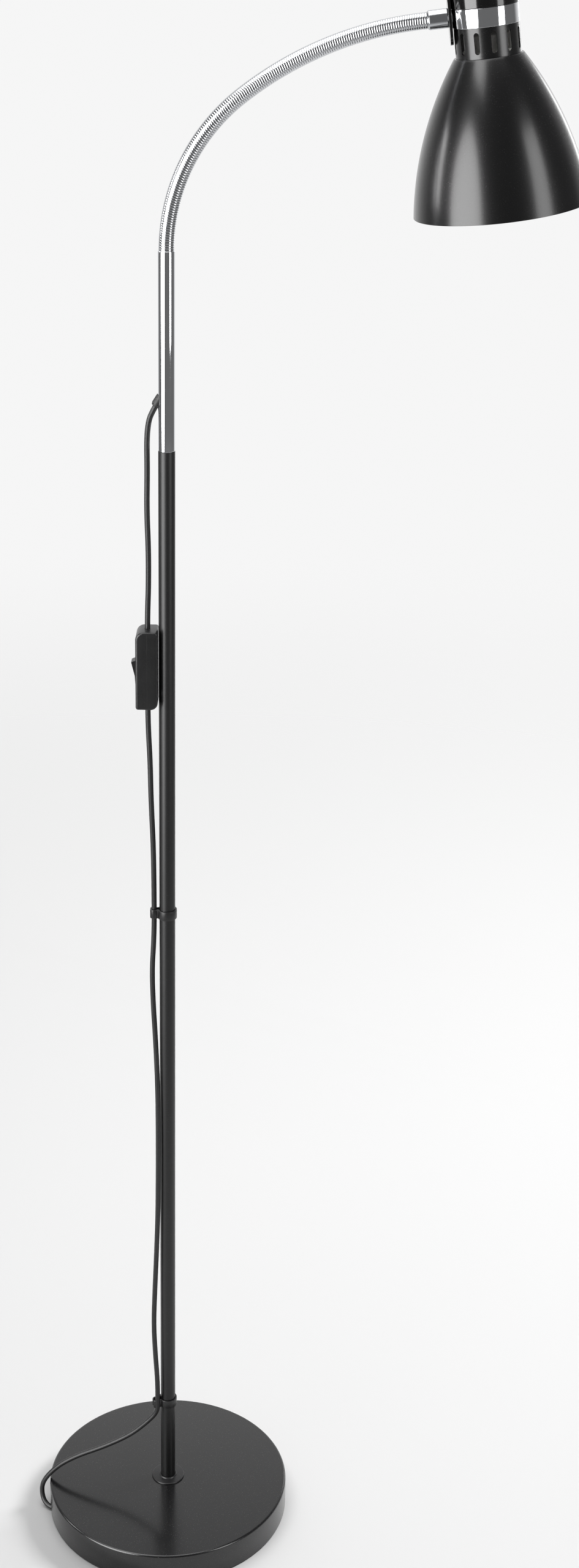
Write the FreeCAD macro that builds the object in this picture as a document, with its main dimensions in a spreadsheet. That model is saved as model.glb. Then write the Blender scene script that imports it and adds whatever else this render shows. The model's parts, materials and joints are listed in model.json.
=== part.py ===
import FreeCAD, Part
import math
import os
import Sketcher
from FreeCAD import Placement, Rotation, Vector

# Adjustable arm floor lamp: a weighted round base, a slim pole, a flexible metal
# neck and a bell shade, with a lead that hangs down the pole.
# Frame: origin at the centre of the base on the floor, +Z up, the neck leans to +X.
# Lengths are in millimetres.

doc = FreeCAD.newDocument("arm_floor_lamp")
sheet = doc.addObject("Spreadsheet::Sheet", "Sizes")

SIZES = {
    # plays between pieces, and how far a cutting tool runs past the piece it cuts
    "slide": 0.05, "loose": 0.1, "thread_play": 0.02, "hole_play": 0.3, "past": 1.0,
    # base
    "base_radius": 125.0, "base_height": 33.0, "base_skin": 1.6, "base_edge_round": 2.5,
    "weight_radius": 122.9, "weight_thick": 12.0,
    "trim_inner": 119.5, "trim_high": 7.0, "trim_lip": 1.0, "trim_outer": 124.6,
    "notch_wide": 13.0, "notch_high": 9.5, "notch_angle": 189.6, "notch_past": 3.0,
    "stud_radius": 5.0, "stud_low": 7.0, "stud_high": 56.0,
    "washer_radius": 15.0, "washer_thick": 2.0, "nut_flats": 17.0, "nut_thick": 6.0,
    "foot_radius": 18.0, "foot_wall": 1.5, "foot_sole": 5.0,
    "collar_radius": 17.0, "collar_thick": 1.6,
    # pole
    "pole_radius": 7.5, "pole_wall": 1.2, "pole_top": 1149.0,
    "upright_wall": 1.0, "upright_top": 1322.0,
    "coupler_length": 44.0, "insert_length": 26.0, "wire_bore": 3.4, "socket_long": 20.0,
    "bush_height": 1192.0, "bush_slope": 58.0, "bush_radius": 4.4, "bush_reach": 6.2,
    "bush_long": 10.54, "bush_drill": 12.4, "cord_start": 0.62,
    # cord clips
    "clip_outer": 9.3, "clip_high": 9.0, "clip_reach": 12.5,
    "clip_loop": 4.4, "clip_loop_bore": 2.9, "clip_mouth": 3.2,
    "clip_upper_turn": 180.0,
    "clip_upper_height": 699.0, "clip_lower_height": 130.5, "clip_lower_turn": 213.5,
    # flexible neck
    "neck_radius": 6.75, "neck_bore": 4.5, "neck_gap": 2.8, "neck_links": 12,
    "neck_lower_bend": 161.0, "neck_lower_turn": 51.8,
    "neck_upper_bend": 300.0, "neck_upper_turn": 31.45,
    "spigot_play": 0.35, "ferrule_radius": 7.9, "ferrule_length": 17.0,
    "nipple_radius": 4.95, "nipple_bore": 3.4,
    # head, measured up its own axis
    "plate_thick": 2.5, "plate_wide": 20.0, "plate_low": 139.0, "plate_high": 180.0,
    "plate_gap": 0.3,
    "shade_radius": 74.1, "shade_neck": 28.7, "shade_low": 4.5, "shade_high": 128.0,
    "shade_bend": 273.5,
    "shade_skin": 1.0, "shade_hole": 20.6, "shade_inner_step": 0.6,
    "collar_low": 128.0, "collar_high": 152.0, "vent_radius": 27.0, "vent_wall": 1.2,
    "slot_count": 12, "slot_turn": 7.0, "slot_reach": 30.0, "slot_wide": 4.4,
    "slot_low": 131.5, "slot_high": 148.5,
    "band_radius": 27.6, "band_wall": 2.6, "band_low": 152.0, "band_high": 167.0,
    "band_lip": 3.0, "band_step": 1.95, "band_drill": 30.6, "neck_height": 160.6,
    "head_tilt": 1.28, "ferrule_gap": 0.2,
    "cap_radius": 27.8, "cap_high": 201.0, "cap_wall": 1.1, "cap_round": 5.0,
    "nipple_nut_x": -21.6, "spigot_long": 8.0, "ferrule_seat": 6.0, "nipple_long": 30.0,
    "holder_radius": 19.5, "holder_low": 104.0, "holder_high": 154.0,
    "socket_radius": 13.3, "socket_depth": 30.0, "socket_wall": 0.5,
    "shell_inset": 2.0, "nipple_proud": 1.5,
    "bracket_face": 23.6, "bracket_thick": 1.8, "bracket_wide": 16.0, "bracket_drop": 12.0,
    "bracket_rise": 9.0, "bracket_reach": 9.0, "lock_nut_thick": 5.0,
    "shoulder_radius": 22.0, "shoulder_thick": 3.0, "dome_rise": 9.0, "dome_radius": 11.0,
    "boss_depth": 8.0, "terminal_radius": 7.9,
    "terminal_rise": 6.5, "terminal_low": 2.5,
    "button_radius": 5.4, "button_tip": 3.4, "button_drop": 0.7, "button_step": 1.0,
    "grip_radius": 25.0, "grip_deep": 6.0, "grip_slope": 1.5,
    # in-line switch
    "switch_back": -7.9, "switch_split": -17.5, "switch_front": -28.0,
    "switch_wide": 26.0, "switch_low": 910.0, "switch_high": 984.5, "switch_wall": 1.8,
    "switch_brow": 7.5, "switch_chin": 2.4, "switch_heel": 6.5, "switch_side_round": 2.0,
    "room_end": 3.0, "room_back": 2.6, "room_back_side": 3.0,
    "rocker_height": 941.0, "rocker_wide": 10.0, "rocker_sweep": 14.4, "rocker_tilt": 9.0,
    "rocker_sunk": 3.0, "rocker_proud": 2.2, "rocker_dip": 1.1, "rocker_deep": 2.5,
    "rocker_gap": 0.4, "rocker_pin": 1.5, "rocker_play": 0.05,
    "ear_thick": 2.0, "ear_high": 3.5, "ear_deep": 4.2,
    "screw_head": 2.6, "screw_sunk": 1.6, "screw_shank": 1.4, "screw_long": 14.0,
    "screw_boss": 3.0, "screw_side": 8.6, "screw_upper": 29.0, "screw_lower": 17.5,
    "contact_side": 6.2, "contact_deep": 2.6, "contact_thick": 1.2,
    "contact_low": 932.0, "contact_high": 950.0,
    "clamp_inset": 5.0, "clamp_high": 6.0, "clamp_wide": 10.0, "clamp_deep": 3.0,
    # mains lead
    "cord_radius": 2.5, "coil_inner": 19.9, "coil_outer": 35.1, "coil_low": 0.9,
    "coil_high": 10.9, "coil_round": 2.25, "coil_play": 0.5,
    "tie_wide": 7.0, "tie_wall": 0.8, "tie_angle": 150.0,
    "plug_long": 36.0, "plug_wide": 35.3, "plug_thick": 13.7, "plug_tail_wide": 15.0,
    "plug_tail_thick": 10.1,
    "plug_x": 8.0, "plug_y": 71.0, "pin_radius": 2.0, "pin_long": 19.0, "pin_pitch": 18.6,
}
for row, (alias, number) in enumerate(SIZES.items(), start=1):
    sheet.set("A%d" % row, alias)
    sheet.set("B%d" % row, str(number))
    sheet.setAlias("B%d" % row, alias)
doc.recompute()

FULL_TURN = 360.0
NIL = 1e-9            # a length that counts as none
NEAR = 0.01           # how close two places are to count as the same
UP = Vector(0, 0, 1)
ALONG_X = Vector(1, 0, 0)
ALONG_Y = Vector(0, 1, 0)
subparts = []


def size(alias):
    return float(sheet.get(alias))


def bound(text):
    """Turn plain aliases in a formula into references to the sheet."""
    words = []
    word = ""
    for letter in str(text) + " ":
        if letter.isalnum() or letter in "_.":
            word += letter
            continue
        words.append("Sizes." + word if word in SIZES else word)
        words.append(letter)
        word = ""
    return "".join(words).strip()


def value(text):
    """Work out a formula of aliases as a plain number."""
    return float(sheet.evalExpression(bound(text).replace("Sizes.", "")))


def bind(thing, **formulas):
    for prop, formula in formulas.items():
        thing.setExpression(prop.replace("__", "."), bound(formula))
    return thing


def keep(thing, label, placement=None):
    """Name a finished sub-part and list it for export."""
    thing.Label = label
    if placement is not None:
        thing.Placement = placement
    subparts.append(thing)
    return thing


def cylinder(radius, low, high, centre=("0", "0")):
    rod = doc.addObject("Part::Cylinder", "Rod")
    bind(rod, Radius=radius, Height="(%s) - (%s)" % (high, low))
    bind(rod, Placement__Base__x=centre[0], Placement__Base__y=centre[1],
         Placement__Base__z=low)
    return rod


def rod_along(radius, length, start, direction):
    """A round rod from a point, along any direction."""
    rod = doc.addObject("Part::Cylinder", "Rod")
    bind(rod, Radius=radius, Height=length)
    rod.Placement = Placement(start, Rotation(UP, direction))
    return rod


def box(low, high):
    block = doc.addObject("Part::Box", "Block")
    bind(block, Length="(%s) - (%s)" % (high[0], low[0]),
         Width="(%s) - (%s)" % (high[1], low[1]),
         Height="(%s) - (%s)" % (high[2], low[2]))
    bind(block, Placement__Base__x=low[0], Placement__Base__y=low[1],
         Placement__Base__z=low[2])
    return block


def hexagon(flats, low, high):
    nut = doc.addObject("Part::Prism", "Hexagon")
    nut.Polygon = 6
    bind(nut, Circumradius="(%s) / sqrt(3)" % flats, Height="(%s) - (%s)" % (high, low))
    bind(nut, Placement__Base__z=low)
    return nut


def cut(base, *tools):
    result = base
    for tool in tools:
        step = doc.addObject("Part::Cut", "Cut")
        step.Base = result
        step.Tool = tool
        result = step
    return result


def common(*pieces):
    shared = doc.addObject("Part::MultiCommon", "Shared")
    shared.Shapes = list(pieces)
    return shared


def compound(pieces, label, placement=None):
    """Identical small pieces that share one node."""
    group = doc.addObject("Part::Compound", "Group")
    group.Links = pieces
    return keep(group, label, placement)


def fuse(*pieces):
    joined = doc.addObject("Part::MultiFuse", "Fusion")
    joined.Shapes = list(pieces)
    joined.Refine = True
    return joined


def bore_through(radius, low, high, centre=("0", "0")):
    """A cutting cylinder that runs past both ends."""
    return cylinder(radius, "(%s) - past" % low, "(%s) + past" % high, centre)


def ring(outer, inner, low, high):
    return cut(cylinder(outer, low, high), bore_through(inner, low, high))


def plane_of(body, role):
    return next(f for f in body.Origin.OriginFeatures if f.Role == role)


def outline_sketch(body, corners, bends=None):
    """A closed outline of corners (radius, height) in the XZ plane, each bound to the sheet.

    bends maps the number of a side to the radius of the arc that replaces it.
    """
    bends = bends or {}
    sketch = body.newObject("Sketcher::SketchObject", "Outline")
    sketch.AttachmentSupport = [(plane_of(body, "XZ_Plane"), "")]
    sketch.MapMode = "FlatFace"
    points = [Vector(value(r), value(h), 0) for r, h in corners]
    count = len(points)
    ends = []
    for side, start in enumerate(points):
        end = points[(side + 1) % count]
        if side not in bends:
            sketch.addGeometry(Part.LineSegment(start, end), False)
            ends.append((1, 2))
            continue
        radius = value(bends[side])
        chord = end - start
        across = Vector(chord.y, -chord.x, 0).normalize() * math.copysign(1, radius)
        centre = (start + end) / 2 - across * math.sqrt(radius ** 2 - (chord.Length / 2) ** 2)
        angles = [math.atan2((p - centre).y, (p - centre).x) for p in (start, end)]
        onward = (start - centre).cross(end - centre).z > 0
        circle = Part.Circle(centre, UP, abs(radius))
        sketch.addGeometry(Part.ArcOfCircle(circle, *(angles if onward else angles[::-1])), False)
        ends.append((1, 2) if onward else (2, 1))
    for side in range(count):
        after = (side + 1) % count
        sketch.addConstraint(Sketcher.Constraint(
            "Coincident", side, ends[side][1], after, ends[after][0]))
    for side, (radius, height) in enumerate(corners):
        for kind, formula, axis in (("DistanceX", radius, -2), ("DistanceY", height, -1)):
            if abs(value(formula)) < NIL:
                sketch.addConstraint(Sketcher.Constraint("PointOnObject", side, ends[side][0], axis))
                continue
            index = sketch.addConstraint(Sketcher.Constraint(
                kind, -1, 1, side, ends[side][0], value(formula)))
            sketch.setExpression("Constraints[%d]" % index, bound(formula))
    for side, radius in bends.items():
        index = sketch.addConstraint(Sketcher.Constraint("Radius", side, abs(value(radius))))
        sketch.setExpression("Constraints[%d]" % index, bound("abs(%s)" % radius))
    return sketch


def turned(corners, bends=None):
    """A body of revolution about Z from an outline of (radius, height) corners."""
    body = doc.addObject("PartDesign::Body", "Turned")
    sketch = outline_sketch(body, corners, bends)
    spin = body.newObject("PartDesign::Revolution", "Spin")
    spin.Profile = sketch
    spin.ReferenceAxis = (sketch, ["V_Axis"])
    spin.Angle = FULL_TURN
    sketch.Visibility = False
    doc.recompute()
    return body


def rounded(body, radius, picks):
    """Round the edges of a body that the test picks."""
    tip = body.Tip
    names = ["Edge%d" % (i + 1) for i, edge in enumerate(tip.Shape.Edges) if picks(edge)]
    fillet = body.newObject("PartDesign::Fillet", "Round")
    fillet.Base = (tip, names)
    bind(fillet, Radius=radius)
    doc.recompute()
    return body


def circle_at(radius, height):
    """A test for the round edge of that radius at that height."""
    wanted_radius, wanted_height = value(radius), value(height)

    def test(edge):
        curve = edge.Curve
        return (isinstance(curve, Part.Circle) and abs(curve.Radius - wanted_radius) < NEAR
                and abs(curve.Center.z - wanted_height) < NEAR)
    return test


# Base

def notch_block(reach):
    """The space that the lead needs where it passes under the edge of the base."""
    angle = size("notch_angle")
    block = box(("trim_inner - notch_past", "-notch_wide / 2", "-past"),
                (reach, "notch_wide / 2", "notch_high - notch_wide / 2"))
    arch = rod_along("notch_wide / 2", "%s - trim_inner + notch_past" % reach,
                     Vector(value("trim_inner - notch_past"), 0, value("notch_high - notch_wide / 2")),
                     ALONG_X)
    passage = fuse(block, arch)
    passage.Placement = Placement(Vector(), Rotation(UP, angle))
    return passage


def base_parts():
    skin = "base_radius - base_skin"
    under = "base_height - base_skin"
    cover = turned([("stud_radius + hole_play", under), ("stud_radius + hole_play", "base_height"),
                    ("base_radius", "base_height"), ("base_radius", "trim_lip"),
                    (skin, "trim_lip"), (skin, under)])
    rounded(cover, "base_edge_round", circle_at("base_radius", "base_height"))
    keep(cut(cover, notch_block("base_radius + notch_past")), "base_cover")
    weight_low = "base_height - base_skin - weight_thick"
    keep(turned([("stud_radius + hole_play", weight_low), ("weight_radius", weight_low),
                 ("weight_radius", under), ("stud_radius + hole_play", under)]), "base_weight")
    inside = "base_radius - base_skin - loose"
    trim = turned([("trim_inner", "0"), ("trim_outer", "0"), ("trim_outer", "trim_lip"),
                   (inside, "trim_lip"), (inside, "trim_high"), ("trim_inner", "trim_high")])
    keep(cut(trim, notch_block("base_radius + notch_past")), "base_edge_trim")
    washer_low = "%s - washer_thick" % weight_low
    keep(ring("washer_radius", "stud_radius + hole_play", washer_low, weight_low), "stud_washer")
    nut_low = "%s - nut_thick" % washer_low
    keep(cut(hexagon("nut_flats", nut_low, washer_low),
             bore_through("stud_radius + thread_play", nut_low, washer_low)),
         "stud_nut")
    keep(turned([("0", "0"), ("foot_radius", "0"), ("foot_radius", weight_low),
                 ("foot_radius - foot_wall", weight_low),
                 ("foot_radius - foot_wall", "foot_sole"), ("0", "foot_sole")]), "centre_foot")
    keep(ring("stud_radius", "wire_bore", "stud_low", "stud_high"), "pole_stud")
    keep(ring("collar_radius", "pole_radius + loose", "base_height",
              "base_height + collar_thick"), "foot_collar")


# Pole

def bush_axis():
    slope = math.radians(size("bush_slope"))
    return Vector(-math.cos(slope), 0, -math.sin(slope))


def bush_centre():
    return Vector(-size("pole_radius"), 0, size("bush_height"))


def pole_parts():
    bore = "pole_radius - pole_wall"
    keep(ring("pole_radius", bore, "base_height", "pole_top"), "pole_tube")
    keep(ring("%s - slide" % bore, "stud_radius + thread_play", "base_height",
              "base_height + insert_length"), "pole_foot_insert")
    half = "coupler_length / 2"
    keep(turned([("wire_bore", "pole_top - %s" % half), ("%s - slide" % bore, "pole_top - %s" % half),
                 ("%s - slide" % bore, "pole_top"),
                 ("pole_radius - upright_wall - slide", "pole_top"),
                 ("pole_radius - upright_wall - slide", "pole_top + %s" % half),
                 ("wire_bore", "pole_top + %s" % half)]), "pole_coupler")
    axis = bush_axis()
    reach = size("bush_reach")
    drill = rod_along("bush_radius + slide", "bush_drill", bush_centre() - axis * reach, axis)
    keep(cut(ring("pole_radius", "pole_radius - upright_wall", "pole_top", "upright_top"), drill),
         "upright_tube")
    sleeve = rod_along("bush_radius", "bush_long", bush_centre() - axis * reach, axis)
    hole = rod_along("cord_radius", "2 * bush_drill", bush_centre() - axis * 2 * reach, axis)
    keep(cut(sleeve, hole), "cord_bush")
    socket_low = "upright_top - socket_long"
    keep(turned([("wire_bore", socket_low), ("pole_radius - upright_wall - slide", socket_low),
                 ("pole_radius - upright_wall - slide", "upright_top"),
                 ("neck_bore - spigot_play", "upright_top"),
                 ("neck_bore - spigot_play", "upright_top + spigot_long"),
                 ("wire_bore", "upright_top + spigot_long")]), "neck_socket")


def clip_part(label, height, turn):
    """A spring clip: a band round the pole and a smaller loop round the lead."""
    low = "%s - clip_high / 2" % height
    high = "%s + clip_high / 2" % height
    body = fuse(cylinder("clip_outer", low, high),
                cylinder("clip_loop", low, high, ("clip_reach", "0")))
    bored = cut(body, bore_through("pole_radius + slide", low, high),
                bore_through("clip_loop_bore", low, high, ("clip_reach", "0")),
                box(("clip_reach", "-clip_mouth / 2", "%s - past" % low),
                    ("clip_reach + 2 * clip_loop", "clip_mouth / 2", "%s + past" % high)))
    keep(bored, label, Placement(Vector(), Rotation(UP, turn)))


# Flexible neck

def neck_frame(place):
    """Point and heading of the neck's centre line, place running from 0 to 1 per half link row.

    The line is two arcs in the XZ plane, the lower one tighter than the upper one, and
    each arc carries half of the links.
    """
    lower = math.radians(size("neck_lower_turn"))
    upper = math.radians(size("neck_upper_turn"))
    lower_bend, upper_bend = size("neck_lower_bend"), size("neck_upper_bend")
    half = size("neck_links") / 2
    first = min(place, half) / half * lower
    second = max(place - half, 0.0) / half * upper
    heading = math.pi / 2 - first
    point = Vector(lower_bend * (1 - math.sin(heading)), 0,
                   size("upright_top") + lower_bend * math.cos(heading))
    end = heading - second
    point += Vector(math.sin(heading) - math.sin(end), 0,
                    math.cos(end) - math.cos(heading)) * upper_bend
    return point, end


def neck_parts():
    """Short curved tubes in a row, each with a gap to the next, that stand for the hose."""
    links = int(size("neck_links"))
    for link in range(links):
        lower = link < links / 2
        bend = "neck_lower_bend" if lower else "neck_upper_bend"
        turn = "neck_lower_turn" if lower else "neck_upper_turn"
        trim_start = "0" if link == 0 else "neck_gap / 2"
        trim_end = "0" if link == links - 1 else "neck_gap / 2"
        sweep = "%s / (neck_links / 2) - (%s + %s) / %s * 180 / pi" % (
            turn, trim_start, trim_end, bend)
        point, heading = neck_frame(link)
        heading -= value(trim_start) / value(bend)
        centre_point, centre_heading = neck_frame(0 if lower else links / 2)
        middle = centre_point + Vector(math.sin(centre_heading), 0,
                                       -math.cos(centre_heading)) * value(bend)
        shells = []
        for radius in ("neck_radius", "neck_bore"):
            shell = doc.addObject("Part::Torus", "Bend")
            bind(shell, Radius1=bend, Radius2=radius, Angle3=sweep)
            # the torus turns about its own Z, laid along +Y so that it turns from up to +X
            start = Vector(-math.sin(heading), 0, math.cos(heading))
            shell.Placement = Placement(middle, Rotation(start, ALONG_Y.cross(start), ALONG_Y, "ZXY"))
            shells.append(shell)
        keep(cut(*shells), "neck_link_%02d" % (link + 1))


# Head

def head_frame():
    """Placement of the head: its Z runs up the head, and its X goes on from the neck."""
    point, heading = neck_frame(size("neck_links"))
    heading += math.radians(size("head_tilt"))
    along = Vector(math.cos(heading), 0, math.sin(heading))
    down = Vector(math.sin(heading), 0, -math.cos(heading))
    reach = value("ferrule_gap + ferrule_length + plate_thick + plate_gap + band_radius")
    origin = point + along * reach + down * size("neck_height")
    return Placement(origin, Rotation(ALONG_Y, -math.degrees(heading)))


def neck_end_parts(head):
    """Pieces on the nipple that joins the neck to the head, along the head's own X."""
    side = "band_radius + plate_gap + plate_thick"
    height = size("neck_height")
    outside = -value(side)
    tip = outside - size("ferrule_length")

    def along(radius, low, length):
        return rod_along(radius, length, Vector(low, 0, height), ALONG_X)

    ferrule = cut(along("ferrule_radius", tip, "ferrule_length"),
                  along("nipple_radius + slide", tip + size("ferrule_seat"), "ferrule_length"),
                  along("wire_bore", tip - size("past"), "ferrule_length"))
    spigot = cut(along("neck_bore - spigot_play", tip - size("spigot_long"), "spigot_long"),
                 along("wire_bore", tip - value("spigot_long + past"), "spigot_long + 2 * past"))
    keep(fuse(ferrule, spigot), "neck_ferrule", head)
    strap = box(("-(%s)" % side, "-plate_wide / 2", "plate_low + plate_wide / 2"),
                ("-(%s) + plate_thick" % side, "plate_wide / 2", "plate_high - plate_wide / 2"))
    ends = [rod_along("plate_wide / 2", "plate_thick", Vector(outside, 0, value(end)), ALONG_X)
            for end in ("plate_low + plate_wide / 2", "plate_high - plate_wide / 2")]
    hole = along("nipple_radius + loose", outside - size("past"), "plate_thick + 2 * past")
    keep(cut(fuse(strap, *ends), hole), "neck_plate", head)
    keep(cut(along("nipple_radius", tip + value("ferrule_seat + hole_play"), "nipple_long"),
             along("nipple_bore", tip, "2 * nipple_long")), "neck_nipple", head)
    nut = cut(hexagon("nut_flats", "0", "lock_nut_thick"),
              bore_through("nipple_radius + thread_play", "0", "lock_nut_thick"))
    turn = Placement(Vector(size("nipple_nut_x"), 0, height), Rotation(UP, ALONG_X))
    keep(nut, "nipple_nut", head.multiply(turn))


def shade_part(head):
    """A spun bell: one arc from the neck to the rim, with a flat top clamped by the holder."""
    skin = "shade_skin"
    bell = turned([("shade_radius", "shade_low"), ("shade_neck", "shade_high"),
                   ("shade_hole", "shade_high"),
                   ("shade_hole", "shade_high - %s" % skin),
                   ("shade_neck - shade_inner_step", "shade_high - %s" % skin),
                   ("shade_radius - %s" % skin, "shade_low")],
                  {0: "shade_bend", 4: "-(shade_bend - shade_skin)"})
    keep(bell, "lamp_shade", head)


def head_parts():
    head = head_frame()
    neck_end_parts(head)
    shade_part(head)
    inside = "vent_radius - vent_wall"
    collar = turned([("shade_hole", "collar_low"), ("vent_radius", "collar_low"),
                     ("vent_radius", "collar_high"), (inside, "collar_high"),
                     (inside, "collar_low + vent_wall"), ("shade_hole", "collar_low + vent_wall")])
    slots = []
    pitch = FULL_TURN / size("slot_count")
    for number in range(int(size("slot_count"))):
        block = box(("0", "-slot_wide / 2", "slot_low + slot_wide / 2"),
                    ("slot_reach", "slot_wide / 2", "slot_high - slot_wide / 2"))
        tips = [rod_along("slot_wide / 2", "slot_reach", Vector(0, 0, value(end)), ALONG_X)
                for end in ("slot_low + slot_wide / 2", "slot_high - slot_wide / 2")]
        slot = fuse(block, *tips)
        slot.Placement = Placement(Vector(), Rotation(UP, size("slot_turn") + number * pitch))
        slots.append(slot)
    keep(cut(collar, *slots), "vent_collar", head)
    lip = "band_radius - band_step"
    bore = "band_radius - band_wall"
    band = turned([(bore, "band_low - band_lip"), (lip, "band_low - band_lip"), (lip, "band_low"),
                   ("band_radius", "band_low"), ("band_radius", "band_high"), (lip, "band_high"),
                   (lip, "band_high + band_lip"), (bore, "band_high + band_lip")])
    drill = rod_along("nipple_radius + slide", "band_drill",
                      Vector(-size("band_drill"), 0, size("neck_height")), ALONG_X)
    keep(cut(band, drill), "neck_band", head)
    cap = turned([("0", "cap_high"), ("cap_radius", "cap_high"), ("cap_radius", "band_high"),
                  ("cap_radius - cap_wall", "band_high"),
                  ("cap_radius - cap_wall", "cap_high - cap_wall"), ("0", "cap_high - cap_wall")])
    rounded(cap, "cap_round", circle_at("cap_radius", "cap_high"))
    keep(cap, "top_cap", head)
    holder_parts(head)


def holder_parts(head):
    """The bracket inside the head, and the screw lampholder that hangs from it."""
    shelf_high = "band_high + bracket_rise"
    inner_face = "bracket_thick - bracket_face"
    upright = box(("-bracket_face", "-bracket_wide / 2", "neck_height - bracket_drop"),
                  (inner_face, "bracket_wide / 2", shelf_high))
    shelf = box(("-bracket_face", "-bracket_wide / 2", "%s - bracket_thick" % shelf_high),
                ("bracket_reach", "bracket_wide / 2", shelf_high))
    side_hole = rod_along("nipple_radius + slide", "3 * bracket_thick",
                          Vector(-value("bracket_face + bracket_thick"), 0, size("neck_height")),
                          ALONG_X)
    top_hole = cylinder("nipple_radius + slide", "%s - lock_nut_thick" % shelf_high,
                        "%s + past" % shelf_high)
    keep(cut(fuse(upright, shelf), side_hole, top_hole), "holder_bracket", head)
    top = "%s + lock_nut_thick + nipple_proud" % shelf_high
    keep(ring("nipple_radius", "nipple_bore", "holder_high - boss_depth + hole_play", top),
         "holder_nipple", head)
    nuts = []
    for low in ("%s - bracket_thick - lock_nut_thick" % shelf_high, shelf_high):
        high = "%s + lock_nut_thick" % low
        nuts.append(cut(hexagon("nut_flats", low, high),
                        bore_through("nipple_radius + thread_play", low, high)))
    compound(nuts, "holder_nuts", head)
    flange = "collar_low + vent_wall"
    seat = "holder_low + socket_depth + past"
    bore = "socket_radius + socket_wall + slide"
    keep(turned([(bore, "holder_low"), ("holder_radius", "holder_low"), ("holder_radius", flange),
                 ("shoulder_radius", flange), ("shoulder_radius", "%s + shoulder_thick" % flange),
                 ("holder_radius", "%s + shoulder_thick" % flange),
                 ("holder_radius", "holder_high - dome_rise"), ("dome_radius", "holder_high"),
                 ("nipple_radius + slide", "holder_high"),
                 ("nipple_radius + slide", "holder_high - boss_depth"),
                 ("terminal_radius + loose", "holder_high - boss_depth"),
                 ("terminal_radius + loose", seat), (bore, seat)]), "lampholder", head)
    keep(ring("socket_radius + socket_wall", "socket_radius", "holder_low + shell_inset",
              "holder_low + socket_depth"), "socket_shell", head)
    tip, step = "%s - button_drop" % seat, "%s + button_step" % seat
    block_low, block_high = "%s + terminal_low" % seat, "%s + terminal_rise" % seat
    keep(turned([("0", tip), ("button_tip", tip), ("button_tip", step), ("button_radius", step),
                 ("button_radius", block_low), ("terminal_radius", block_low),
                 ("terminal_radius", block_high), ("0", block_high)]), "centre_contact", head)
    under = "shade_high - shade_skin"
    low = "%s - grip_deep" % under
    keep(turned([("holder_radius + slide", low), ("grip_radius - grip_slope", low),
                 ("grip_radius", "%s + grip_slope" % low), ("grip_radius", under),
                 ("holder_radius + slide", under)]), "shade_ring", head)


# In-line switch

def switch_shell():
    """The whole outside of the switch: its side outline padded, then rounded.

    The front upper corner and the back lower corner are large rounds.
    """
    body = doc.addObject("PartDesign::Body", "Shell")
    corners = [("switch_front", "switch_low"), ("switch_back", "switch_low"),
               ("switch_back", "switch_high"), ("switch_front", "switch_high")]
    sketch = outline_sketch(body, corners)
    pad = body.newObject("PartDesign::Pad", "Block")
    pad.Profile = sketch
    pad.Midplane = True
    bind(pad, Length="switch_wide")
    doc.recompute()
    rounds = {("switch_front", "switch_high"): "switch_brow",
              ("switch_front", "switch_low"): "switch_chin",
              ("switch_back", "switch_low"): "switch_heel",
              ("switch_back", "switch_high"): "switch_chin"}
    for (across, up), radius in rounds.items():
        rounded(body, radius, lambda edge: near(edge, across, up))
    return rounded(body, "switch_side_round", lambda edge: edge.BoundBox.YLength < NEAR)


def near(edge, across, up):
    """Whether an edge runs along Y at that place in the XZ plane."""
    span = edge.BoundBox
    return (span.YLength > NEAR and abs(span.XMin - value(across)) < NEAR and span.XLength < NEAR
            and abs(span.ZMin - value(up)) < NEAR and span.ZLength < NEAR)


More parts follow.
